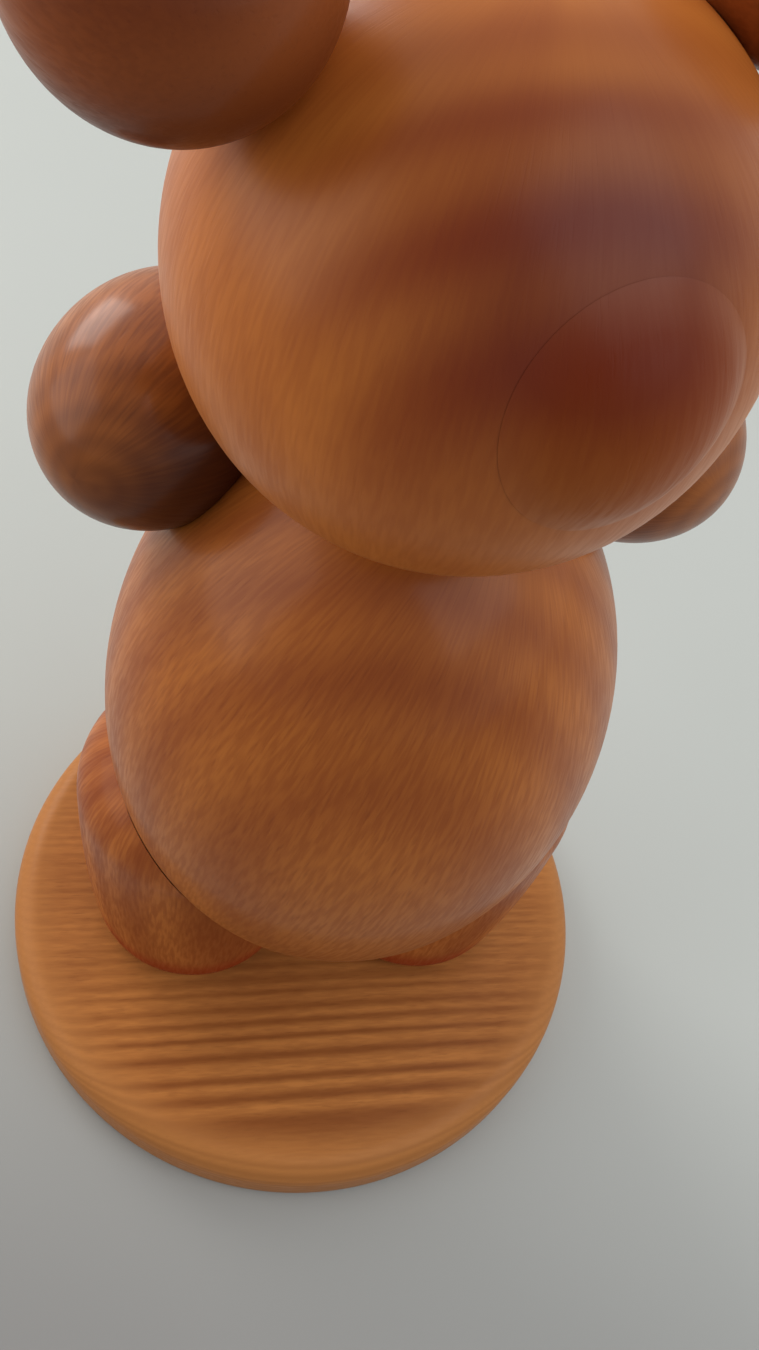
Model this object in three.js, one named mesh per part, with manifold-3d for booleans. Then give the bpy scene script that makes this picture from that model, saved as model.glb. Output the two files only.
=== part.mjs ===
// A turned wooden bear that stands on a round base.
// Balls and eggs of lacquered wood are seated on each other and held by glued dowels.
// The legs are screwed on from below the base, and the head turns on the dowel in its neck.
// Millimetres, +Z up. The bear faces -Y, and the origin is under the middle of the base.

import * as THREE from 'three';
import { mergeVertices } from 'three/addons/utils/BufferGeometryUtils.js';
import Module from 'manifold-3d';

const wasm = await Module();
wasm.setup();

// Gap between pieces that touch
const FIT = 0.3;

// Base
const BASE_RADIUS = 40.5;
const BASE_THICKNESS = 8;
const BASE_TOP_ROUND = 3.5;
const BASE_BOTTOM_ROUND = 1;

// Body egg and the flat on it for the head
const BODY_RADIUS = 27.5;
const BODY_HALF_HEIGHT = 40.2;
const BODY_ABOVE_BASE = 12.8;
const NECK_RADIUS = 9.4;

// Legs, dished for the body
const LEG_SPREAD = 15.6;
const LEG_FORWARD = 0.3;
const LEG_RADIUS = 15.4;
const LEG_WIDEST_HEIGHT = 33;
const LEG_ABOVE_WIDEST = 12;
const FOOT_RADIUS = 12.8;
const FOOT_ROUND = 4;

// Arms, dished for the body and just clear of the head
const ARM_RADIUS = 11.3;
const ARM_HALF_LENGTH = 14.1;
const ARM_SEAT = 4.4;
const ARM_HEAD_CLEARANCE = 1.3;
const ARM_BACK = THREE.MathUtils.degToRad(27);
const ARM_OUT = THREE.MathUtils.degToRad(34);
const ARM_UP = THREE.MathUtils.degToRad(6);

// Head and ears, with the angle that the head is turned to at rest
const HEAD_RADIUS = 23.2;
const HEAD_TURN = THREE.MathUtils.degToRad(17);
const EAR_RADIUS = 10.1;
const EAR_SEAT = 0.5;
const EAR_LEAN = THREE.MathUtils.degToRad(45.3);
const EAR_BACK = THREE.MathUtils.degToRad(4.8);

// Muzzle: the end of an egg, and how far it stands out of the head
const MUZZLE_RADIUS = 10.5;
const MUZZLE_HALF_DEPTH = 8;
const MUZZLE_STAND = 2.2;
const MUZZLE_LIFT = THREE.MathUtils.degToRad(14);

// Dowels: radius, then the length in each of the two pieces
const NECK_DOWEL = { radius: 4, lower: 12, upper: 13 };
const ARM_DOWEL = { radius: 2.5, lower: 8, upper: 6 };
const HIP_DOWEL = { radius: 2.5, lower: 8, upper: 6.5 };
const EAR_DOWEL = { radius: 2, lower: 6, upper: 6 };
const MUZZLE_DOWEL = { radius: 1.5, lower: 6, upper: 1 };
const DOWEL_BEVEL = 0.6;
const HIP_DROP = THREE.MathUtils.degToRad(45);

// Countersunk wood screws that hold the legs
const SCREW_RADIUS = 1.75;
const SCREW_HEAD_RADIUS = 3.5;
const SCREW_HEAD_DEPTH = 2;
const SCREW_RECESS = 0.8;
const SCREW_BITE = 12.8;
const SCREW_TIP = 4;
const SLOT_WIDTH = 0.9;
const SLOT_DEPTH = 0.9;

// Facets round a piece, and steps along a quarter of its outline
const LARGE = { facets: 40, steps: 8 };
const MIDDLE = { facets: 28, steps: 6 };
const SMALL = { facets: 16, steps: 2 };

// Heights and places that follow from the sizes above
const bodyHeight = BASE_THICKNESS + BODY_ABOVE_BASE + BODY_HALF_HEIGHT;
const bodyTopAngle = Math.acos(NECK_RADIUS / BODY_RADIUS);
const neckHeight = bodyHeight + BODY_HALF_HEIGHT * Math.sin(bodyTopAngle);
const headBottomAngle = -Math.acos(NECK_RADIUS / HEAD_RADIUS);
const headFlat = HEAD_RADIUS * Math.sin(headBottomAngle);
const headHeight = neckHeight + FIT - headFlat;
const headMiddle = new THREE.Vector3(0, 0, headHeight);

// Materials
function lacqueredWood(color) {
  return new THREE.MeshStandardMaterial({ color, roughness: 0.3, metalness: 0 });
}

function rawWood() {
  return new THREE.MeshStandardMaterial({ color: 0xc9a271, roughness: 0.7, metalness: 0 });
}

function screwSteel() {
  return new THREE.MeshStandardMaterial({ color: 0x9a9a98, roughness: 0.4, metalness: 1 });
}

const BODY_COLOUR = 0x9c5a2a;
const LIMB_COLOUR = 0x8f4d24;
const BASE_COLOUR = 0xa8642e;

// Solids
function toSolid(geometry) {
  geometry.deleteAttribute('normal');
  geometry.deleteAttribute('uv');
  const merged = mergeVertices(geometry);
  const corners = merged.index.array;
  const triangles = [];
  for (let i = 0; i < corners.length; i += 3) {
    const [a, b, c] = corners.slice(i, i + 3);
    if (a !== b && b !== c && c !== a) triangles.push(a, b, c);
  }
  return new wasm.Manifold(new wasm.Mesh({
    numProp: 3,
    vertProperties: merged.attributes.position.array,
    triVerts: new Uint32Array(triangles),
  }));
}

function toGeometry(solid) {
  const { vertProperties, triVerts } = solid.getMesh();
  const geometry = new THREE.BufferGeometry();
  geometry.setAttribute('position', new THREE.BufferAttribute(vertProperties, 3));
  geometry.setIndex(new THREE.BufferAttribute(triVerts, 1));
  geometry.computeVertexNormals();
  return geometry;
}

function turned(path, { facets, steps }) {
  const geometry = new THREE.LatheGeometry(path.getPoints(steps), facets);
  geometry.rotateX(Math.PI / 2);
  return toSolid(geometry);
}

// Outline of an egg between two angles from its widest ring, with a flat where it stops short of a pole
function eggOutline(radius, halfHeight, from = -Math.PI / 2, to = Math.PI / 2) {
  const path = new THREE.Path();
  path.moveTo(0, halfHeight * Math.sin(from));
  path.lineTo(radius * Math.cos(from), halfHeight * Math.sin(from));
  path.absellipse(0, 0, radius, halfHeight, from, to, false);
  path.lineTo(0, halfHeight * Math.sin(to));
  return path;
}

function rodOutline(radius, bottom, top, bevel) {
  const path = new THREE.Path();
  path.moveTo(0, bottom);
  path.lineTo(radius - bevel, bottom);
  path.lineTo(radius, bottom + bevel);
  path.lineTo(radius, top - bevel);
  path.lineTo(radius - bevel, top);
  path.lineTo(0, top);
  return path;
}

function holeOutline(radius, bottom, top) {
  const path = new THREE.Path();
  path.moveTo(0, bottom);
  path.lineTo(radius, bottom);
  path.lineTo(radius, top);
  path.lineTo(0, top);
  return path;
}

function dowel({ radius, lower, upper }) {
  return turned(rodOutline(radius, -lower, upper, DOWEL_BEVEL), SMALL);
}

function dowelHole({ radius, lower, upper }) {
  return turned(holeOutline(radius + FIT, -lower - FIT, upper + FIT), SMALL);
}

// Placing: own +Z along a direction, own origin at a point
function placed(point, direction) {
  const turn = new THREE.Quaternion().setFromUnitVectors(new THREE.Vector3(0, 0, 1), direction);
  return new THREE.Matrix4().compose(point, turn, new THREE.Vector3(1, 1, 1));
}

function upright(x, y, z) {
  return new THREE.Matrix4().makeTranslation(x, y, z);
}

function moved(solid, place) {
  return solid.transform(place.elements);
}

// One mesh: a blank in its own frame, less the rooms of its neighbours, which are in its group's frame
function piece(name, blank, place, rooms, material) {
  const back = place.clone().invert();
  let solid = blank;
  for (const room of rooms) solid = solid.subtract(moved(room, back));
  const mesh = new THREE.Mesh(toGeometry(solid), material);
  mesh.name = name;
  mesh.applyMatrix4(place);
  return mesh;
}

// Point on the body egg and the way out of it, by the angle round it and the angle up from its widest ring
function onBody(around, up) {
  const out = new THREE.Vector3(Math.cos(around), Math.sin(around), 0);
  const point = out.clone().multiplyScalar(BODY_RADIUS * Math.cos(up));
  point.z = bodyHeight + BODY_HALF_HEIGHT * Math.sin(up);
  const normal = out.clone().multiplyScalar(Math.cos(up) / BODY_RADIUS);
  normal.z = Math.sin(up) / BODY_HALF_HEIGHT;
  return { point, normal: normal.normalize() };
}

function armMiddle(around, up) {
  const { point, normal } = onBody(around, up);
  return point.addScaledVector(normal, ARM_RADIUS - ARM_SEAT);
}

// The highest place on the body where an arm still clears the head
function shoulderAngle() {
  const distance = HEAD_RADIUS + ARM_RADIUS + ARM_HEAD_CLEARANCE;
  let low = 0;
  let high = Math.PI / 2;
  for (let i = 0; i < 40; i++) {
    const middle = (low + high) / 2;
    if (armMiddle(ARM_BACK, middle).distanceTo(headMiddle) > distance) low = middle;
    else high = middle;
  }
  return low;
}

// A way out of the head, by the angle to the bear's left or right of its face and the angle up
function facing(aside, up) {
  return new THREE.Vector3(
    Math.sin(aside) * Math.cos(up),
    -Math.cos(aside) * Math.cos(up),
    Math.sin(up),
  );
}

// The way out of the head to an ear
function earWay(sign) {
  const upward = Math.cos(EAR_BACK);
  return new THREE.Vector3(
    sign * Math.sin(EAR_LEAN) * upward,
    Math.sin(EAR_BACK),
    Math.cos(EAR_LEAN) * upward,
  );
}

// Base
function baseBlank() {
  const path = new THREE.Path();
  const topRing = BASE_RADIUS - BASE_TOP_ROUND;
  const bottomRing = BASE_RADIUS - BASE_BOTTOM_ROUND;
  path.moveTo(0, 0);
  path.lineTo(bottomRing, 0);
  path.absarc(bottomRing, BASE_BOTTOM_ROUND, BASE_BOTTOM_ROUND, -Math.PI / 2, 0, false);
  path.absarc(topRing, BASE_THICKNESS - BASE_TOP_ROUND, BASE_TOP_ROUND, 0, Math.PI / 2, false);
  path.lineTo(0, BASE_THICKNESS);
  return turned(path, { facets: 48, steps: 2 });
}

// Legs: an egg that narrows to a rounded foot
function legBlank() {
  const narrowing = Math.sqrt(1 - (FOOT_RADIUS / LEG_RADIUS) ** 2);
  const below = LEG_WIDEST_HEIGHT / narrowing;
  const roundEnd = Math.asin((FOOT_ROUND - LEG_WIDEST_HEIGHT) / below);
  const path = new THREE.Path();
  path.moveTo(0, 0);
  path.lineTo(FOOT_RADIUS - FOOT_ROUND, 0);
  path.quadraticCurveTo(FOOT_RADIUS, 0, LEG_RADIUS * Math.cos(roundEnd), FOOT_ROUND);
  path.absellipse(0, LEG_WIDEST_HEIGHT, LEG_RADIUS, below, roundEnd, 0, false);
  path.absellipse(0, LEG_WIDEST_HEIGHT, LEG_RADIUS, LEG_ABOVE_WIDEST, 0, Math.PI / 2, false);
  return turned(path, { facets: 28, steps: 4 });
}

// Screws: own origin in the face of the head, pointing up into the leg
const screwLength = BASE_THICKNESS - SCREW_RECESS + SCREW_BITE;

function screwBlank() {
  const path = new THREE.Path();
  path.moveTo(0, 0);
  path.lineTo(SCREW_HEAD_RADIUS, 0);
  path.lineTo(SCREW_RADIUS, SCREW_HEAD_DEPTH);
  path.lineTo(SCREW_RADIUS, screwLength - SCREW_TIP);
  path.lineTo(0, screwLength);
  const slot = new THREE.BoxGeometry(3 * SCREW_HEAD_RADIUS, SLOT_WIDTH, 2 * SLOT_DEPTH);
  return turned(path, SMALL).subtract(toSolid(slot));
}

function screwRoom() {
  const path = new THREE.Path();
  path.moveTo(0, -2 * SCREW_RECESS);
  path.lineTo(SCREW_HEAD_RADIUS + FIT, -2 * SCREW_RECESS);
  path.lineTo(SCREW_HEAD_RADIUS + FIT, 0);
  path.lineTo(SCREW_RADIUS + FIT, SCREW_HEAD_DEPTH);
  path.lineTo(SCREW_RADIUS + FIT, screwLength + FIT);
  path.lineTo(0, screwLength + FIT);
  return turned(path, SMALL);
}

// Body and head, with what they are grown by to make room for themselves
function bodyBlank(growth) {
  const radius = BODY_RADIUS + growth;
  return turned(eggOutline(radius, BODY_HALF_HEIGHT + growth, -Math.PI / 2, bodyTopAngle), LARGE);
}

function headBlank(growth) {
  const radius = HEAD_RADIUS + growth;
  return turned(eggOutline(radius, radius, headBottomAngle, Math.PI / 2), LARGE);
}

// Rooms that the large pieces take out of their neighbours
const bodyPlace = upright(0, 0, bodyHeight);
const bodyRoom = moved(bodyBlank(FIT), bodyPlace);
const headRoom = headBlank(FIT);

const bear = new THREE.Group();
const headGroup = new THREE.Group();
headGroup.position.copy(headMiddle);
headGroup.rotation.z = HEAD_TURN;
bear.add(headGroup);

const SIDES = [['left', 1], ['right', -1]];
const shoulder = shoulderAngle();
const baseRooms = [];
const bodyRooms = [];
const headRooms = [];

// Legs with their screws and hip dowels; the bear's left is +X
for (const [side, sign] of SIDES) {
  const hip = onBody(Math.atan2(-LEG_FORWARD, sign * LEG_SPREAD), -HIP_DROP);
  const hipPlace = placed(hip.point, hip.normal);
  const hipRoom = moved(dowelHole(HIP_DOWEL), hipPlace);
  const legPlace = upright(sign * LEG_SPREAD, -LEG_FORWARD, BASE_THICKNESS);
  const screwPlace = upright(sign * LEG_SPREAD, -LEG_FORWARD, SCREW_RECESS);
  const screw = moved(screwRoom(), screwPlace);
  const legRooms = [bodyRoom, hipRoom, screw];
  bear.add(piece(`${side}_leg`, legBlank(), legPlace, legRooms, lacqueredWood(LIMB_COLOUR)));
  bear.add(piece(`${side}_hip_dowel`, dowel(HIP_DOWEL), hipPlace, [], rawWood()));
  bear.add(piece(`${side}_leg_screw`, screwBlank(), screwPlace, [], screwSteel()));
  bodyRooms.push(hipRoom);
  baseRooms.push(screw);
}

// Arms with their dowels
for (const [side, sign] of SIDES) {
  const around = sign > 0 ? ARM_BACK : Math.PI - ARM_BACK;
  const joint = onBody(around, shoulder);
  const dowelPlace = placed(joint.point, joint.normal);
  const dowelRoom = moved(dowelHole(ARM_DOWEL), dowelPlace);
  const armPlace = placed(armMiddle(around, shoulder), facing(sign * ARM_OUT, ARM_UP));
  const armBlank = turned(eggOutline(ARM_RADIUS, ARM_HALF_LENGTH), MIDDLE);
  const armRooms = [bodyRoom, dowelRoom];
  bear.add(piece(`${side}_arm`, armBlank, armPlace, armRooms, lacqueredWood(LIMB_COLOUR)));
  bear.add(piece(`${side}_arm_dowel`, dowel(ARM_DOWEL), dowelPlace, [], rawWood()));
  bodyRooms.push(dowelRoom);
}

// Neck dowel, glued into the body; the head turns on it
const neckPlace = upright(0, 0, neckHeight);
const neckRoom = moved(dowelHole(NECK_DOWEL), neckPlace);
bear.add(piece('neck_dowel', dowel(NECK_DOWEL), neckPlace, [], rawWood()));
bodyRooms.push(neckRoom);
headRooms.push(moved(neckRoom, upright(0, 0, -headHeight)));

// Body and base
bear.add(piece('body', bodyBlank(0), bodyPlace, bodyRooms, lacqueredWood(BODY_COLOUR)));
bear.add(piece('base_disc', baseBlank(), upright(0, 0, 0), baseRooms, lacqueredWood(BASE_COLOUR)));

// Ears with their dowels, in the frame of the head
for (const [side, sign] of SIDES) {
  const way = earWay(sign);
  const earPlace = placed(way.clone().multiplyScalar(HEAD_RADIUS + EAR_RADIUS - EAR_SEAT), way);
  const dowelPlace = placed(way.clone().multiplyScalar(HEAD_RADIUS), way);
  const dowelRoom = moved(dowelHole(EAR_DOWEL), dowelPlace);
  const earBlank = turned(eggOutline(EAR_RADIUS, EAR_RADIUS), MIDDLE);
  headGroup.add(piece(`${side}_ear`, earBlank, earPlace, [headRoom, dowelRoom], lacqueredWood(LIMB_COLOUR)));
  headGroup.add(piece(`${side}_ear_dowel`, dowel(EAR_DOWEL), dowelPlace, [], rawWood()));
  headRooms.push(dowelRoom);
}

// Muzzle with its dowel
const muzzleWay = facing(0, MUZZLE_LIFT);
const muzzleDistance = HEAD_RADIUS + MUZZLE_STAND - MUZZLE_HALF_DEPTH;
const muzzlePlace = placed(muzzleWay.clone().multiplyScalar(muzzleDistance), muzzleWay);
const muzzleDowelPlace = placed(muzzleWay.clone().multiplyScalar(HEAD_RADIUS), muzzleWay);
const muzzleDowelRoom = moved(dowelHole(MUZZLE_DOWEL), muzzleDowelPlace);
const muzzleBlank = turned(eggOutline(MUZZLE_RADIUS, MUZZLE_HALF_DEPTH), MIDDLE);
const muzzleRooms = [headRoom, muzzleDowelRoom];
headGroup.add(piece('muzzle', muzzleBlank, muzzlePlace, muzzleRooms, lacqueredWood(BODY_COLOUR)));
headGroup.add(piece('muzzle_dowel', dowel(MUZZLE_DOWEL), muzzleDowelPlace, [], rawWood()));
headRooms.push(muzzleDowelRoom);

// Head
headGroup.add(piece('head', headBlank(0), upright(0, 0, 0), headRooms, lacqueredWood(BODY_COLOUR)));

export default bear;
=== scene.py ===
"""Looks of the turned wooden bear: fine turned surfaces, lacquered wood, floor, light and camera."""
import math

import bmesh
import bpy
from mathutils import Euler, Matrix, Vector


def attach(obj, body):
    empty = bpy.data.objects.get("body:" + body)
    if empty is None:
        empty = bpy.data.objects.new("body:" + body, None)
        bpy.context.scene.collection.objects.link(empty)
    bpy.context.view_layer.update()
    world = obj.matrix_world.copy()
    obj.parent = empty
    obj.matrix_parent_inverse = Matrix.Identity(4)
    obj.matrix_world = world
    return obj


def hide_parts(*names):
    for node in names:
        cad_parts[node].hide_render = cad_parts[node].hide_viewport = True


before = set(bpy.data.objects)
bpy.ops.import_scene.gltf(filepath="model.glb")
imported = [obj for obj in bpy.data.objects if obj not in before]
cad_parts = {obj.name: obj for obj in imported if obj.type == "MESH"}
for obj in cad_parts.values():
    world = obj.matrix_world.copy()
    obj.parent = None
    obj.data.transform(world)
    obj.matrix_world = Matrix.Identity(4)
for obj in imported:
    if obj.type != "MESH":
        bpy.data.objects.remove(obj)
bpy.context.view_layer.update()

# Sizes of the turned pieces, in metres, as in the construction
MM = 0.001
SEAM = 0.12 * MM
MUZZLE_SEAM = 0.03 * MM
BASE_RADIUS = 40.5 * MM
BASE_THICKNESS = 8 * MM
BASE_TOP_ROUND = 3.5 * MM
BASE_BOTTOM_ROUND = 1 * MM
BODY_RADIUS = 27.5 * MM
BODY_HALF_HEIGHT = 40.2 * MM
BODY_ABOVE_BASE = 12.8 * MM
NECK_RADIUS = 9.4 * MM
NECK_GAP = 0.3 * MM
LEG_SPREAD = 15.6 * MM
LEG_FORWARD = 0.3 * MM
LEG_RADIUS = 15.4 * MM
LEG_WIDEST_HEIGHT = 33 * MM
LEG_ABOVE_WIDEST = 12 * MM
FOOT_RADIUS = 12.8 * MM
FOOT_ROUND = 4 * MM
ARM_RADIUS = 11.3 * MM
ARM_HALF_LENGTH = 14.1 * MM
ARM_SEAT = 4.4 * MM
ARM_HEAD_CLEARANCE = 1.3 * MM
ARM_BACK = math.radians(27)
ARM_OUT = math.radians(34)
ARM_UP = math.radians(6)
HEAD_RADIUS = 23.2 * MM
HEAD_TURN = math.radians(17)
EAR_RADIUS = 10.1 * MM
EAR_SEAT = 0.5 * MM
EAR_LEAN = math.radians(45.3)
EAR_BACK = math.radians(4.8)
MUZZLE_RIM = 9.2 * MM
MUZZLE_STAND = 2.2 * MM
MUZZLE_LIFT = math.radians(14)
MUZZLE_RUN_OUT = 1.3
SCREW_ROOM_RADIUS = 3.8 * MM
SCREW_RECESS = 0.8 * MM
SCREW_SHANK_ROOM = 2 * MM
SCREW_HEAD_DEPTH = 2 * MM

# How finely the turned surfaces are divided, round their axis and along their outline
BASE_FACETS = 192
BODY_FACETS = 120
LIMB_FACETS = 96
HOLE_FACETS = 48
BASE_BOTTOM_STEPS = 6
BASE_TOP_STEPS = 14
EGG_STEPS = 72
FOOT_STEPS = 8
LEG_STEPS = 40
LEG_TOP_STEPS = 24
MUZZLE_STEPS = 48
ON_AXIS = 1e-6
SHARP_EDGE = math.radians(35)

# Halvings in the search for the shoulder
HALVINGS = 40

# Camera, as the photograph was taken: place, heading from +Y towards +X, tilt down, roll, focal length
CAMERA_PLACE = Vector((-25.4, -77.4, 182)) * MM
CAMERA_HEADING = math.radians(19.6)
CAMERA_TILT = math.radians(55)
CAMERA_ROLL = math.radians(16.5)
FOCAL_PIXELS = 1300
PHOTO_HEIGHT = 1350
SENSOR = 36
CLIP_START = 5 * MM

# Heights that follow from the sizes
body_height = BASE_THICKNESS + BODY_ABOVE_BASE + BODY_HALF_HEIGHT
body_top_angle = math.acos(NECK_RADIUS / BODY_RADIUS)
neck_height = body_height + BODY_HALF_HEIGHT * math.sin(body_top_angle)
head_bottom_angle = -math.acos(NECK_RADIUS / HEAD_RADIUS)
head_height = neck_height + NECK_GAP - HEAD_RADIUS * math.sin(head_bottom_angle)
head_place = Matrix.Translation((0, 0, head_height)) @ Matrix.Rotation(HEAD_TURN, 4, "Z")
SIDES = (("left", 1), ("right", -1))


# Shader nodes
def node(tree, kind, inputs=(), **settings):
    """Adds a node; an input is a value, or the socket it is linked to."""
    made = tree.nodes.new(kind)
    for key, value in settings.items():
        setattr(made, key, value)
    for key, value in dict(inputs).items():
        if isinstance(value, bpy.types.NodeSocket):
            tree.links.new(value, made.inputs[key])
        else:
            made.inputs[key].default_value = value
    return made


def maths(tree, operation, *values):
    made = node(tree, "ShaderNodeMath", enumerate(values), operation=operation)
    return made.outputs[0]


def vector_maths(tree, operation, *values):
    made = node(tree, "ShaderNodeVectorMath", enumerate(values), operation=operation)
    return made.outputs["Value" if operation in ("LENGTH", "DOT_PRODUCT") else "Vector"]


def noise(tree, vector, scale, detail=2.0):
    made = node(tree, "ShaderNodeTexNoise", {"Vector": vector, "Scale": scale, "Detail": detail})
    return made.outputs


def ranged(tree, value, low, high, to_low=0.0, to_high=1.0, **settings):
    inputs = {"Value": value, "From Min": low, "From Max": high, "To Min": to_low, "To Max": to_high}
    return node(tree, "ShaderNodeMapRange", inputs, **settings).outputs["Result"]


def mixed(tree, factor, first, second):
    """Mix of two colours, whose sockets in a mix node come after those for numbers and vectors."""
    inputs = {"Factor": factor, 6: first, 7: second}
    made = node(tree, "ShaderNodeMix", inputs, data_type="RGBA")
    return made.outputs[2]


def linear(red, green, blue):
    """An 8-bit screen colour as a shader colour."""
    def channel(value):
        value /= 255
        return value / 12.92 if value <= 0.04045 else ((value + 0.055) / 1.055) ** 2.4
    return (channel(red), channel(green), channel(blue), 1.0)


# Colours of the woods, the painted shade on the wood and the table, the steel, the table and the light of the
# room
BASE_PALE = linear(190, 122, 63)
BASE_DARK = linear(122, 64, 28)
RIM_PALE = linear(180, 118, 64)
BODY_PALE = linear(186, 108, 44)
BODY_RED = linear(122, 46, 17)
LEG_PALE = linear(189, 110, 51)
# Painted shade round the bottom of the feet
FOOT_SHADE_RED = linear(148, 43, 15)
ARM_PALE = linear(186, 108, 47)
ARM_DARK = linear(96, 40, 18)
# Painted shade on the inner side of the arms
ARM_SHADE_DARK = linear(60, 23, 13)
HEAD_PALE = linear(205, 120, 50)
HEAD_RED = linear(130, 38, 11)
# Painted shade on the belly and on the front of the head
PAINTED_SHADE_RED = linear(98, 27, 9)
EAR_PALE = linear(170, 90, 40)
EAR_DARK = linear(88, 31, 13)
DOWEL_PALE = linear(214, 178, 128)
DOWEL_DARK = linear(176, 134, 86)
STEEL_DARK = linear(150, 150, 148)
STEEL_PALE = linear(196, 196, 192)
TABLE_GREY = linear(186, 189, 184)
TABLE_PALE = linear(194, 197, 193)
# Painted shadow on the table
TABLE_SHADOW = linear(138, 136, 134)
ROOM_LIGHT = (0.88, 0.88, 0.87, 1)
ROOM_DIM = (0.32, 0.32, 0.31, 1)


def new_material(name):
    material = bpy.data.materials.new(name)
    material.use_nodes = True
    tree = material.node_tree
    shader = tree.nodes["Principled BSDF"]
    return material, tree, shader


# Wood: rings round a pith that runs along the grain, fibre streaks, pores and darker end grain.
# Fibre noise has a scale across and along the grain and a detail, and shows over a span of its values.
RING_DRIFT_SCALE = 45
RING_DRIFT_ALONG = 0.25
RING_UNEVEN_SCALE = 0.6
STREAKS = (2300, 330, 1)
STREAK_SPAN = (0.36, 0.64)
PORES = (3400, 450, 2)
PORE_SPAN = (0.58, 0.74)
PATCHES = (80, 35, 1)
PATCH_SPAN = (0.35, 0.65)
DEEP_SHARE = 0.6
END_POWER = 4
PORE_DEPTH = 0.6
STREAK_DEPTH = 0.3
WAVE_SCALE = 120
WAVE_HEIGHT = 1.5
BUMP_STRENGTH = 0.12
BUMP_DISTANCE = 0.2 * MM
WOOD_ROUGHNESS = (0.4, 0.5)
WOOD_SPECULAR = 0.1
LACQUER_IOR = 1.5

# Where the rim of the base is paler, and the painted shade round the bottom of the feet, where they meet the
# base
EDGE_WAVE_SCALE = 150
RIM_WAVES = 1.2 * MM
RIM_WIDTH = 6 * MM
RIM_FULL_WIDTH = 1.5 * MM
RIM_STRENGTH = 0.7
FOOT_SHADE_WAVES = 2 * MM
FOOT_SHADE_HEIGHT = 10.5 * MM
FOOT_SHADE_FULL_HEIGHT = 6.5 * MM
FOOT_SHADE_STRENGTH = 0.75

# Painted shade on the arms, on the side that the head shades: from the middle of an arm towards the body, the
# front and the ground
ARM_SHADE_OFFSET = Vector((-7, -9, -5)) * MM
ARM_SHADE_STRENGTH = {"left": 0.3, "right": 0.85}

# Raw dowels and plated screws
DOWEL_FIBRES = (900, 200, 3)
DOWEL_ROUGHNESS = (0.6, 0.75)
STEEL_SCRATCHES = (2500, 400, 3)
STEEL_ROUGHNESS = (0.28, 0.45)


def near(tree, place, middle, inner, outer, least=0.0):
    """How near a place is to a middle: 1 within the inner distance, and the least beyond the outer one."""
    distance = vector_maths(tree, "LENGTH", vector_maths(tree, "SUBTRACT", place, middle))
    return ranged(tree, distance, outer, inner, least, 1)


def ring_shade(tree, place, spacing, phase, wander, uneven):
    """How dark a growth ring is at a place whose Z runs along the grain, from 0 to 1."""
    drawn_out = vector_maths(tree, "MULTIPLY", place, (1, 1, RING_DRIFT_ALONG))
    drift = noise(tree, drawn_out, RING_DRIFT_SCALE, 0)["Color"]
    drift = vector_maths(tree, "SUBTRACT", drift, (0.5, 0.5, 0.5))
    bent = vector_maths(tree, "MULTIPLY_ADD", drift, (wander, wander, 0), place)
    radius = vector_maths(tree, "LENGTH", vector_maths(tree, "MULTIPLY", bent, (1, 1, 0)))
    inputs = {"W": radius, "Scale": RING_UNEVEN_SCALE / spacing, "Detail": 1}
    shift = node(tree, "ShaderNodeTexNoise", inputs, noise_dimensions="1D").outputs["Fac"]
    turns = maths(tree, "ADD", maths(tree, "DIVIDE", radius, spacing), phase)
    turns = maths(tree, "MULTIPLY_ADD", shift, uneven, turns)
    wave = maths(tree, "COSINE", maths(tree, "MULTIPLY", turns, 2 * math.pi))
    return maths(tree, "MULTIPLY_ADD", wave, 0.5, 0.5)


def stretched(tree, place, across, along, detail):
    """Noise drawn out along the grain, with its scales across and along the fibres."""
    return noise(tree, vector_maths(tree, "MULTIPLY", place, (across, across, along)), 1, detail)["Fac"]


def on_cylinder(tree, place, radius):
    """A place carried out to a cylinder round Z, so that fibres drawn there follow a turned surface."""
    out = vector_maths(tree, "NORMALIZE", vector_maths(tree, "MULTIPLY", place, (1, 1, 0)))
    height = vector_maths(tree, "MULTIPLY", place, (0, 0, 1))
    return vector_maths(tree, "MULTIPLY_ADD", out, (radius, radius, radius), height)


def on_ball(tree, place, radius):
    """A place carried out to a ball round the origin, so that a pattern runs on over a low bulge."""
    return vector_maths(tree, "MULTIPLY", vector_maths(tree, "NORMALIZE", place), (radius, radius, radius))


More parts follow.
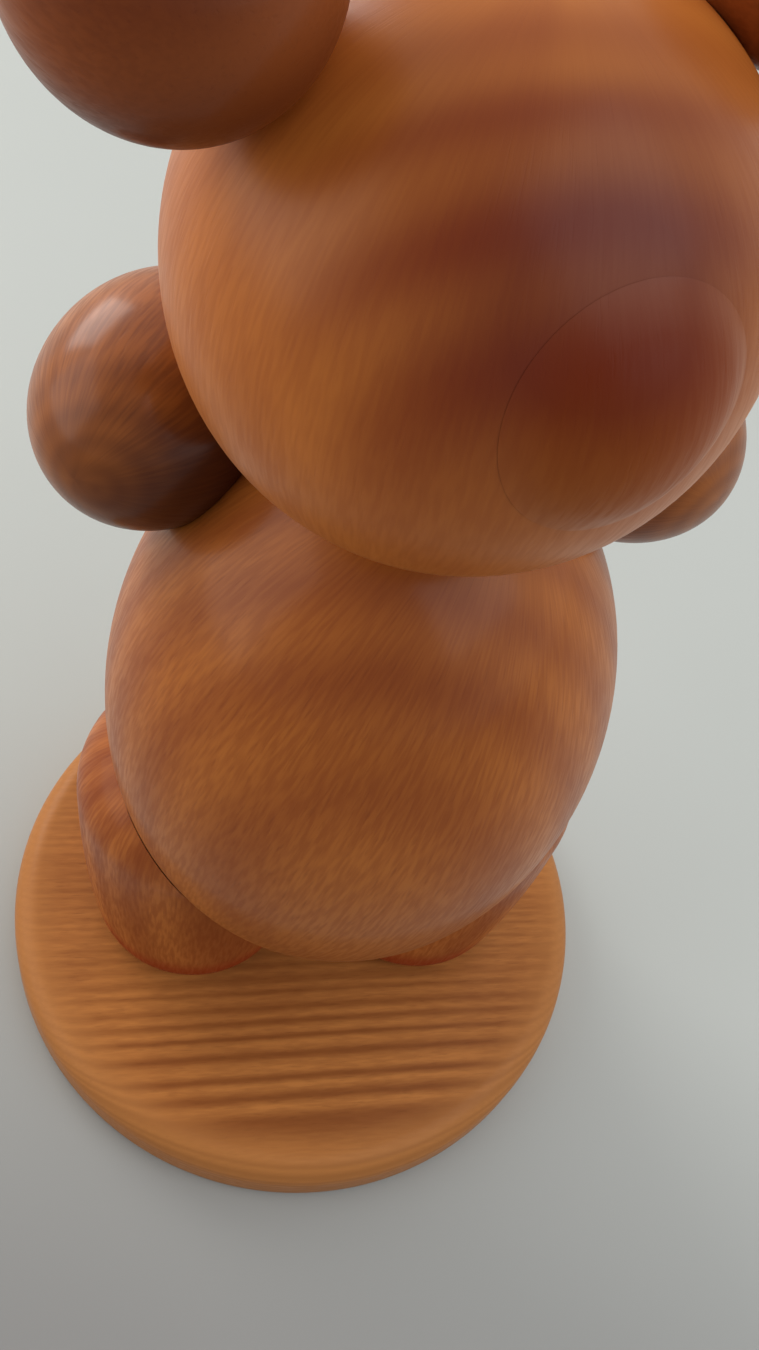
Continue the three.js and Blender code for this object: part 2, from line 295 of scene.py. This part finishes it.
def wood(name, pale, dark, grain=(0, 0, 0), pith=(0, 0, 0), spacing=3 * MM, phase=0.0, wander=4 * MM,
         uneven=0.2, focus=None, ring=0.6, streak=0.4, pore=0.2, patch=0.3, end=0.3, gloss=0.3,
         haze=0.2, dull=None, dull_gloss=0.0, lathe=None, ball=None, edge=None):
    """Lacquered wood. grain turns the piece's frame so that Z runs along the fibres, and pith is a point of
    the ring centre. ring, streak, pore, patch, end and gloss say how strong each feature is, and haze how
    soft the reflections in the lacquer are. focus says where the rings are strongest, and dull where the
    gloss falls to dull_gloss. lathe is the radius of a piece whose fibres follow its surface, and ball the
    radius of one whose whole pattern is that of a ball. edge changes the colour of some part."""
    material, tree, shader = new_material(name)
    coordinates = node(tree, "ShaderNodeTexCoord")
    own = coordinates.outputs["Object"]
    inputs = {"Vector": own, "Rotation": grain}
    place = node(tree, "ShaderNodeMapping", inputs).outputs["Vector"]
    if ball:
        place = on_ball(tree, place, ball)
    from_pith = vector_maths(tree, "SUBTRACT", place, Euler(grain).to_matrix() @ Vector(pith))

    rings = ring_shade(tree, from_pith, spacing, phase, wander, uneven)
    if focus:
        rings = maths(tree, "MULTIPLY", rings, near(tree, own, **focus))
    fibres = on_cylinder(tree, place, lathe) if lathe else place
    inputs = {"Vector": coordinates.outputs["Normal"], "Rotation": grain}
    turned_normal = node(tree, "ShaderNodeMapping", inputs, vector_type="NORMAL").outputs["Vector"]
    along = node(tree, "ShaderNodeSeparateXYZ", {"Vector": turned_normal}).outputs["Z"]
    ends = maths(tree, "POWER", maths(tree, "ABSOLUTE", along), END_POWER)
    sides = maths(tree, "SUBTRACT", 1, ends)
    streaks = ranged(tree, stretched(tree, fibres, *STREAKS), *STREAK_SPAN)
    streaks = maths(tree, "MULTIPLY", streaks, sides)
    pores = ranged(tree, stretched(tree, fibres, *PORES), *PORE_SPAN)
    patches = ranged(tree, stretched(tree, fibres, *PATCHES), *PATCH_SPAN)

    deep = tuple(DEEP_SHARE * value for value in dark[:3]) + (1,)
    colour = mixed(tree, maths(tree, "MULTIPLY", rings, ring), pale, dark)
    colour = mixed(tree, maths(tree, "MULTIPLY", streaks, streak), colour, dark)
    colour = mixed(tree, maths(tree, "MULTIPLY", patches, patch), colour, dark)
    colour = mixed(tree, maths(tree, "MULTIPLY", pores, pore), colour, deep)
    colour = mixed(tree, maths(tree, "MULTIPLY", ends, end), colour, deep)
    if edge:
        colour = edge(tree, own, colour)
    tree.links.new(colour, shader.inputs["Base Color"])

    sunk = maths(tree, "MULTIPLY_ADD", pores, PORE_DEPTH, maths(tree, "MULTIPLY", streaks, STREAK_DEPTH))
    waves = noise(tree, own, WAVE_SCALE, 1)["Fac"]
    height = maths(tree, "SUBTRACT", maths(tree, "MULTIPLY", waves, WAVE_HEIGHT), sunk)
    inputs = {"Height": height, "Strength": BUMP_STRENGTH, "Distance": BUMP_DISTANCE}
    bump = node(tree, "ShaderNodeBump", inputs)
    tree.links.new(bump.outputs["Normal"], shader.inputs["Normal"])
    roughness = ranged(tree, streaks, 0, 1, *WOOD_ROUGHNESS)
    tree.links.new(roughness, shader.inputs["Roughness"])
    shader.inputs["Specular IOR Level"].default_value = WOOD_SPECULAR
    shader.inputs["Coat Weight"].default_value = gloss
    if dull:
        thin = near(tree, own, **dull)
        coat = maths(tree, "MULTIPLY_ADD", thin, dull_gloss - gloss, gloss)
        tree.links.new(coat, shader.inputs["Coat Weight"])
    shader.inputs["Coat Roughness"].default_value = haze
    shader.inputs["Coat IOR"].default_value = LACQUER_IOR
    return material


def paler_rim(tree, place, colour):
    """Paler wood on the rounded rim of the base."""
    radius = vector_maths(tree, "LENGTH", vector_maths(tree, "MULTIPLY", place, (1, 1, 0)))
    wavy = maths(tree, "MULTIPLY_ADD", noise(tree, place, EDGE_WAVE_SCALE)["Fac"], RIM_WAVES, radius)
    rim = ranged(tree, wavy, BASE_RADIUS - RIM_WIDTH, BASE_RADIUS - RIM_FULL_WIDTH)
    return mixed(tree, maths(tree, "MULTIPLY", rim, RIM_STRENGTH), colour, RIM_PALE)


def painted_foot_shade(tree, place, colour):
    """Painted shade: darker, redder wood colour round the bottom of a foot, where it meets the base."""
    height = node(tree, "ShaderNodeSeparateXYZ", {"Vector": place}).outputs["Z"]
    wavy = maths(tree, "MULTIPLY_ADD", noise(tree, place, EDGE_WAVE_SCALE)["Fac"], FOOT_SHADE_WAVES, height)
    shaded = ranged(tree, wavy, FOOT_SHADE_HEIGHT, FOOT_SHADE_FULL_HEIGHT)
    return mixed(tree, maths(tree, "MULTIPLY", shaded, FOOT_SHADE_STRENGTH), colour, FOOT_SHADE_RED)


def painted_shade_spot(middle, inner, outer, strength, dark):
    """Painted shade: a change of colour to a darker tone, full within the inner distance and none beyond the
    outer one.
    """
    def edge(tree, place, colour):
        shading = maths(tree, "MULTIPLY", near(tree, place, middle, inner, outer), strength)
        return mixed(tree, shading, colour, dark)
    return edge


def dowel_wood():
    material, tree, shader = new_material("dowel_wood")
    coordinates = node(tree, "ShaderNodeTexCoord")
    fibres = stretched(tree, coordinates.outputs["Object"], *DOWEL_FIBRES)
    colour = mixed(tree, fibres, DOWEL_PALE, DOWEL_DARK)
    tree.links.new(colour, shader.inputs["Base Color"])
    tree.links.new(ranged(tree, fibres, 0, 1, *DOWEL_ROUGHNESS), shader.inputs["Roughness"])
    return material


def screw_steel():
    material, tree, shader = new_material("screw_steel")
    coordinates = node(tree, "ShaderNodeTexCoord")
    scratches = stretched(tree, coordinates.outputs["Object"], *STEEL_SCRATCHES)
    colour = mixed(tree, scratches, STEEL_DARK, STEEL_PALE)
    tree.links.new(colour, shader.inputs["Base Color"])
    tree.links.new(ranged(tree, scratches, 0, 1, *STEEL_ROUGHNESS), shader.inputs["Roughness"])
    shader.inputs["Metallic"].default_value = 1.0
    return material


# Turned shapes
def arc(radius, height, middle, start, stop, steps):
    """Points of an elliptical arc, as distance from the axis and height."""
    points = []
    for i in range(steps + 1):
        angle = start + (stop - start) * i / steps
        points.append((middle[0] + radius * math.cos(angle), middle[1] + height * math.sin(angle)))
    return points


def egg(radius, half_height, start=-math.pi / 2, stop=math.pi / 2):
    """Outline of an egg, cut flat where the arc starts or stops short of the axis."""
    outline = arc(radius, half_height, (0, 0), start, stop, EGG_STEPS)
    return [(0, outline[0][1])] + outline + [(0, outline[-1][1])]


def turned(name, outline, facets=BODY_FACETS):
    """A closed surface turned about Z from an outline that starts and ends on the axis."""
    shape = bmesh.new()
    rings = []
    for radius, height in outline:
        if radius < ON_AXIS:
            if not rings or len(rings[-1]) > 1:
                rings.append([shape.verts.new((0, 0, height))])
            continue
        ring = []
        for i in range(facets):
            angle = 2 * math.pi * i / facets
            ring.append(shape.verts.new((radius * math.cos(angle), radius * math.sin(angle), height)))
        rings.append(ring)
    for lower, upper in zip(rings, rings[1:]):
        for i in range(facets):
            after = (i + 1) % facets
            if len(lower) == 1:
                shape.faces.new((lower[0], upper[after], upper[i]))
            elif len(upper) == 1:
                shape.faces.new((lower[i], lower[after], upper[0]))
            else:
                shape.faces.new((lower[i], lower[after], upper[after], upper[i]))
    mesh = bpy.data.meshes.new(name)
    shape.to_mesh(mesh)
    shape.free()
    piece = bpy.data.objects.new(name, mesh)
    bpy.context.scene.collection.objects.link(piece)
    return piece


def dished(piece, room):
    """Cuts the room of a neighbour out of a piece, for its seat."""
    bpy.context.view_layer.update()
    cut = piece.modifiers.new("seat", "BOOLEAN")
    cut.operation = "DIFFERENCE"
    cut.solver = "EXACT"
    cut.object = room
    graph = bpy.context.evaluated_depsgraph_get()
    mesh = bpy.data.meshes.new_from_object(piece.evaluated_get(graph))
    piece.modifiers.clear()
    piece.data = mesh
    bpy.data.objects.remove(room)


def placed(point, direction):
    """Own Z along a direction, own origin at a point."""
    turn = Vector((0, 0, 1)).rotation_difference(direction)
    return Matrix.Translation(point) @ turn.to_matrix().to_4x4()


def finished(piece, material, body, slot, *nodes):
    """Smooth shading, finish, and the CAD nodes that the piece stands for."""
    piece.data.materials.clear()
    piece.data.materials.append(material)
    piece.data.shade_smooth()
    piece.data.set_sharp_from_angle(angle=SHARP_EDGE)
    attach(piece, body)
    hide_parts(*nodes)


# Places on the body and the head
def on_body(around, up):
    """A point of the body egg and the way out of it."""
    out = Vector((math.cos(around), math.sin(around), 0))
    point = out * (BODY_RADIUS * math.cos(up))
    point.z = body_height + BODY_HALF_HEIGHT * math.sin(up)
    normal = out * (math.cos(up) / BODY_RADIUS)
    normal.z = math.sin(up) / BODY_HALF_HEIGHT
    return point, normal.normalized()


def arm_middle(around, up):
    """The middle of an arm that sits on the body at a place."""
    point, normal = on_body(around, up)
    return point + normal * (ARM_RADIUS - ARM_SEAT)


def shoulder_angle():
    """The highest place on the body where an arm still clears the head."""
    distance = HEAD_RADIUS + ARM_RADIUS + ARM_HEAD_CLEARANCE
    low, high = 0.0, math.pi / 2
    for _ in range(HALVINGS):
        middle = (low + high) / 2
        gap = (arm_middle(ARM_BACK, middle) - Vector((0, 0, head_height))).length
        low, high = (middle, high) if gap > distance else (low, middle)
    return low


def facing(aside, up):
    """A way forward, turned aside and up."""
    return Vector((math.sin(aside) * math.cos(up), -math.cos(aside) * math.cos(up), math.sin(up)))


def body_shape(name, growth):
    """The body, or with some growth the room that its neighbours leave for it."""
    piece = turned(name, egg(BODY_RADIUS + growth, BODY_HALF_HEIGHT + growth, stop=body_top_angle))
    piece.matrix_world = Matrix.Translation((0, 0, body_height))
    return piece


def head_shape(name, growth):
    """The head, or with some growth the room that the ears leave for it."""
    piece = turned(name, egg(HEAD_RADIUS + growth, HEAD_RADIUS + growth, start=head_bottom_angle))
    piece.matrix_world = head_place
    return piece


# Base
def make_base():
    low_ring = BASE_RADIUS - BASE_BOTTOM_ROUND
    top_ring = BASE_RADIUS - BASE_TOP_ROUND
    low_middle = (low_ring, BASE_BOTTOM_ROUND)
    top_middle = (top_ring, BASE_THICKNESS - BASE_TOP_ROUND)
    outline = [(0, 0)]
    outline += arc(BASE_BOTTOM_ROUND, BASE_BOTTOM_ROUND, low_middle, -math.pi / 2, 0, BASE_BOTTOM_STEPS)
    outline += arc(BASE_TOP_ROUND, BASE_TOP_ROUND, top_middle, 0, math.pi / 2, BASE_TOP_STEPS)
    outline += [(0, BASE_THICKNESS)]
    piece = turned("base", outline, BASE_FACETS)
    cone_end = SCREW_RECESS + SCREW_HEAD_DEPTH
    hole_outline = [(0, -SCREW_RECESS), (SCREW_ROOM_RADIUS, -SCREW_RECESS)]
    hole_outline += [(SCREW_ROOM_RADIUS, SCREW_RECESS), (SCREW_SHANK_ROOM, cone_end), (0, cone_end)]
    for _, sign in SIDES:
        hole = turned("screw_hole", hole_outline, HOLE_FACETS)
        hole.matrix_world = Matrix.Translation((sign * LEG_SPREAD, -LEG_FORWARD, 0))
        dished(piece, hole)
    front = dict(middle=Vector((0, -100, 8)) * MM, inner=79 * MM, outer=92 * MM, least=0.35)
    finish = wood("base_wood", BASE_PALE, BASE_DARK, grain=(0, -math.pi / 2, 0),
                  pith=(0, -42 * MM, -35 * MM), spacing=1 * MM, wander=1 * MM, uneven=0.8, focus=front,
                  ring=0.75, streak=0.25, patch=0.25, end=0.2, gloss=0.06, edge=paler_rim)
    finished(piece, finish, "figure", "base_wood", "base_disc")


# Legs
def make_legs():
    below = LEG_WIDEST_HEIGHT / math.sqrt(1 - (FOOT_RADIUS / LEG_RADIUS) ** 2)
    round_end = math.asin((FOOT_ROUND - LEG_WIDEST_HEIGHT) / below)
    start = Vector((FOOT_RADIUS - FOOT_ROUND, 0))
    corner = Vector((FOOT_RADIUS, 0))
    stop = Vector((LEG_RADIUS * math.cos(round_end), FOOT_ROUND))
    outline = [(0, 0)]
    for i in range(FOOT_STEPS + 1):
        part = i / FOOT_STEPS
        rest = 1 - part
        outline.append(tuple(start * rest ** 2 + corner * (2 * part * rest) + stop * part ** 2))
    middle = (0, LEG_WIDEST_HEIGHT)
    outline += arc(LEG_RADIUS, below, middle, round_end, 0, LEG_STEPS)[1:]
    outline += arc(LEG_RADIUS, LEG_ABOVE_WIDEST, middle, 0, math.pi / 2, LEG_TOP_STEPS)[1:]
    for side, sign in SIDES:
        piece = turned(f"{side}_leg_turned", outline, LIMB_FACETS)
        piece.matrix_world = Matrix.Translation((sign * LEG_SPREAD, -LEG_FORWARD, BASE_THICKNESS))
        dished(piece, body_shape("body_room", SEAM))
        # Legs, with painted shade round the bottom of each foot
        finish = wood(f"{side}_leg_wood", LEG_PALE, BODY_RED, pith=(sign * 12 * MM, 40 * MM, 0),
                      spacing=4 * MM, phase=0.3 * sign, wander=2 * MM, ring=0.4, gloss=0.2,
                      lathe=LEG_RADIUS, edge=painted_foot_shade)
        finished(piece, finish, "figure", "limb_wood", f"{side}_leg")


# Body
def make_body():
    piece = body_shape("body_turned", 0)
    # Painted shade on the upper front of the belly, below the head
    chest_shade = painted_shade_spot(Vector((-1, -18, 29)) * MM, inner=4 * MM, outer=17 * MM, strength=0.36, dark=PAINTED_SHADE_RED)
    finish = wood("body_wood", BODY_PALE, BODY_RED, grain=(0, math.radians(-12), 0),
                  pith=(7 * MM, 80 * MM, 0), spacing=5.6 * MM, phase=0.2, wander=1.5 * MM, ring=0.33,
                  streak=0.3, patch=0.08, end=0.2, lathe=BODY_RADIUS, edge=chest_shade)
    finished(piece, finish, "figure", "body_wood", "body")


# Arms
def make_arms():
    shoulder = shoulder_angle()
    for side, sign in SIDES:
        around = ARM_BACK if sign > 0 else math.pi - ARM_BACK
        piece = turned(f"{side}_arm_turned", egg(ARM_RADIUS, ARM_HALF_LENGTH), LIMB_FACETS)
        middle = arm_middle(around, shoulder)
        piece.matrix_world = placed(middle, facing(sign * ARM_OUT, ARM_UP))
        # Painted shade on the inner, lower side of the arm
        shade_place = middle + Vector((sign * ARM_SHADE_OFFSET.x, ARM_SHADE_OFFSET.y, ARM_SHADE_OFFSET.z))
        arm_shade = painted_shade_spot(piece.matrix_world.inverted() @ shade_place, inner=9.5 * MM, outer=20 * MM,
                                strength=ARM_SHADE_STRENGTH[side], dark=ARM_SHADE_DARK)
        dished(piece, body_shape("body_room", SEAM))
        finish = wood(f"{side}_arm_wood", ARM_PALE, ARM_DARK, pith=(1.5 * MM, -1 * MM, 0),
                      spacing=2.3 * MM, wander=2.5 * MM, ring=0.25, end=0.25, gloss=0.45,
                      lathe=ARM_RADIUS, edge=arm_shade)
        finished(piece, finish, "figure", "limb_wood", f"{side}_arm")


# Head with ears and muzzle
def head_wood(name):
    """One wood for the head and the muzzle, in the head's own frame: strong rings and painted shade at the
    front, and dull on the muzzle.
    """
    brow = dict(middle=Vector((-6, -17, 13)) * MM, inner=7 * MM, outer=18 * MM, least=0.2)
    muzzle = dict(middle=facing(0, MUZZLE_LIFT) * HEAD_RADIUS, inner=6.5 * MM, outer=9.5 * MM)
    # Painted shade over the middle of the front of the head, which little light reaches
    face_shade = painted_shade_spot(Vector((-3, -18.5, 12)) * MM, inner=6 * MM, outer=21 * MM, strength=0.85,
                      dark=PAINTED_SHADE_RED)
    return wood(name, HEAD_PALE, HEAD_RED, pith=(7 * MM, 49 * MM, 0), spacing=4.8 * MM, phase=0.296,
                wander=1.5 * MM, focus=brow, ring=0.65, streak=0.15, pore=0.05, patch=0.2, end=0.1,
                gloss=0.33, haze=0.3, dull=muzzle, dull_gloss=0.04, lathe=HEAD_RADIUS, ball=HEAD_RADIUS,
                edge=face_shade)


def make_head():
    piece = head_shape("head_turned", 0)
    finished(piece, head_wood("head_wood"), "head", "body_wood", "head")


def make_ears():
    for side, sign in SIDES:
        upward = math.cos(EAR_BACK)
        way = Vector((sign * math.sin(EAR_LEAN) * upward, math.sin(EAR_BACK), math.cos(EAR_LEAN) * upward))
        piece = turned(f"{side}_ear_turned", egg(EAR_RADIUS, EAR_RADIUS), LIMB_FACETS)
        piece.matrix_world = head_place @ placed(way * (HEAD_RADIUS + EAR_RADIUS - EAR_SEAT), way)
        dished(piece, head_shape("head_room", SEAM))
        finish = wood(f"{side}_ear_wood", EAR_PALE, EAR_DARK, grain=(math.radians(70), 0, 0),
                      pith=(3 * MM, 0, 14 * MM), spacing=9 * MM, ring=0.55, streak=0.2, pore=0.1,
                      patch=0.4, gloss=0.25)
        finished(piece, finish, "head", "limb_wood", f"{side}_ear")


def bulge():
    """Outline of a low bulge on the head, round the way it faces, that runs out smoothly at its rim."""
    rim = math.asin(MUZZLE_RIM / HEAD_RADIUS)
    seat = HEAD_RADIUS + MUZZLE_SEAM
    under, over = [], []
    for i in range(MUZZLE_STEPS + 1):
        part = i / MUZZLE_STEPS
        way = Vector((math.sin(rim * part), math.cos(rim * part)))
        under.append(tuple(way * seat))
        over.append(tuple(way * (seat + MUZZLE_STAND * (1 - part ** 2) ** MUZZLE_RUN_OUT)))
    return under + over[-2::-1]


def make_muzzle():
    """The muzzle, in the head's own frame, so that the grain of the head runs on through it."""
    piece = turned("muzzle_turned", bulge(), LIMB_FACETS)
    piece.data.transform(placed(Vector((0, 0, 0)), facing(0, MUZZLE_LIFT)))
    piece.matrix_world = head_place
    finished(piece, head_wood("muzzle_wood"), "head", "body_wood", "muzzle")


# Dowels and screws keep their CAD shapes
def finish_fasteners():
    raw = dowel_wood()
    steel = screw_steel()
    for name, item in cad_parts.items():
        if name.endswith(("_dowel", "_screw")):
            item.data.materials.clear()
            item.data.materials.append(raw if name.endswith("_dowel") else steel)


# Floor, light and camera
TABLE_HALF = 3.0
TABLE_BACK = (0.4, 0.9, 0)
# Where the painted shadow on the table starts and where it is full
TABLE_BRIGHT_AT = 20 * MM
TABLE_SHADOW_AT = -80 * MM
TABLE_ROUGHNESS = 0.5
CLOUD_SCALE = 9
CLOUD_DETAIL = 3
SHADE_WAY = Vector((-0.25, -0.75, 0.6)).normalized()
SHADE_FROM = 0.3
SHADE_FULL = 0.9
WARM_WHITE = (1.0, 0.98, 0.95)
PALE_WHITE = (1.0, 0.98, 0.96)
COOL_WHITE = (0.86, 0.93, 1.0)


def make_floor():
    """A pale table top, with a painted shadow that darkens it towards the front and the bear's right."""
    material, tree, shader = new_material("floor")
    place = node(tree, "ShaderNodeTexCoord").outputs["Object"]
    back = vector_maths(tree, "DOT_PRODUCT", place, TABLE_BACK)
    nearness = ranged(tree, back, TABLE_BRIGHT_AT, TABLE_SHADOW_AT, interpolation_type="SMOOTHSTEP")
    cloud = noise(tree, place, CLOUD_SCALE, CLOUD_DETAIL)["Fac"]
    colour = mixed(tree, cloud, TABLE_GREY, TABLE_PALE)
    colour = mixed(tree, nearness, colour, TABLE_SHADOW)
    tree.links.new(colour, shader.inputs["Base Color"])
    shader.inputs["Roughness"].default_value = TABLE_ROUGHNESS
    mesh = bpy.data.meshes.new("floor")
    half = TABLE_HALF
    corners = [(-half, -half, 0), (half, -half, 0), (half, half, 0), (-half, half, 0)]
    mesh.from_pydata(corners, [], [(0, 1, 2, 3)])
    floor = bpy.data.objects.new("floor", mesh)
    bpy.context.scene.collection.objects.link(floor)
    mesh.materials.append(material)


def softbox(name, heading, elevation, distance, size, power, colour):
    """A square lamp at a heading from +Y towards +X, aimed at the middle of the bear."""
    lamp = bpy.data.lights.new(name, "AREA")
    lamp.shape = "SQUARE"
    lamp.size = size
    lamp.energy = power
    lamp.color = colour
    level = math.cos(elevation)
    away = Vector((math.sin(heading) * level, math.cos(heading) * level, math.sin(elevation)))
    item = bpy.data.objects.new(name, lamp)
    bpy.context.scene.collection.objects.link(item)
    target = Vector((0, 0, body_height))
    item.location = target + away * distance
    item.rotation_euler = (-away).to_track_quat("-Z", "Y").to_euler()


def make_light():
    softbox("window", heading=math.radians(-36), elevation=math.radians(24), distance=0.9, size=0.45,
            power=3.2, colour=WARM_WHITE)
    softbox("left_box", heading=math.radians(-88), elevation=math.radians(22), distance=0.9, size=0.8,
            power=2.4, colour=PALE_WHITE)
    softbox("cool_box", heading=math.radians(130), elevation=math.radians(50), distance=0.8, size=0.7,
            power=2.1, colour=COOL_WHITE)
    make_room()


def make_room():
    """Even light from all round, dimmer from above the front."""
    world = bpy.data.worlds.new("world")
    world.use_nodes = True
    tree = world.node_tree
    way = node(tree, "ShaderNodeTexCoord").outputs["Generated"]
    nearness = vector_maths(tree, "DOT_PRODUCT", way, SHADE_WAY)
    dimmed = ranged(tree, nearness, SHADE_FROM, SHADE_FULL, interpolation_type="SMOOTHSTEP")
    colour = mixed(tree, dimmed, ROOM_LIGHT, ROOM_DIM)
    tree.links.new(colour, tree.nodes["Background"].inputs["Color"])
    bpy.context.scene.world = world


def make_camera():
    data = bpy.data.cameras.new("camera")
    data.sensor_width = SENSOR
    data.lens = FOCAL_PIXELS * SENSOR / PHOTO_HEIGHT
    data.clip_start = CLIP_START
    forward = Vector((
        math.sin(CAMERA_HEADING) * math.cos(CAMERA_TILT),
        math.cos(CAMERA_HEADING) * math.cos(CAMERA_TILT),
        -math.sin(CAMERA_TILT),
    ))
    level = forward.cross(Vector((0, 0, 1))).normalized()
    above = level.cross(forward)
    right = level * math.cos(CAMERA_ROLL) + above * math.sin(CAMERA_ROLL)
    up = above * math.cos(CAMERA_ROLL) - level * math.sin(CAMERA_ROLL)
    turn = Matrix((right, up, -forward)).transposed().to_4x4()
    camera = bpy.data.objects.new("camera", data)
    bpy.context.scene.collection.objects.link(camera)
    camera.matrix_world = Matrix.Translation(CAMERA_PLACE) @ turn
    bpy.context.scene.camera = camera


make_camera()
make_base()
make_legs()
make_body()
make_arms()
make_head()
make_ears()
make_muzzle()
finish_fasteners()
make_floor()
make_light()
bpy.context.scene.view_settings.view_transform = "Standard"
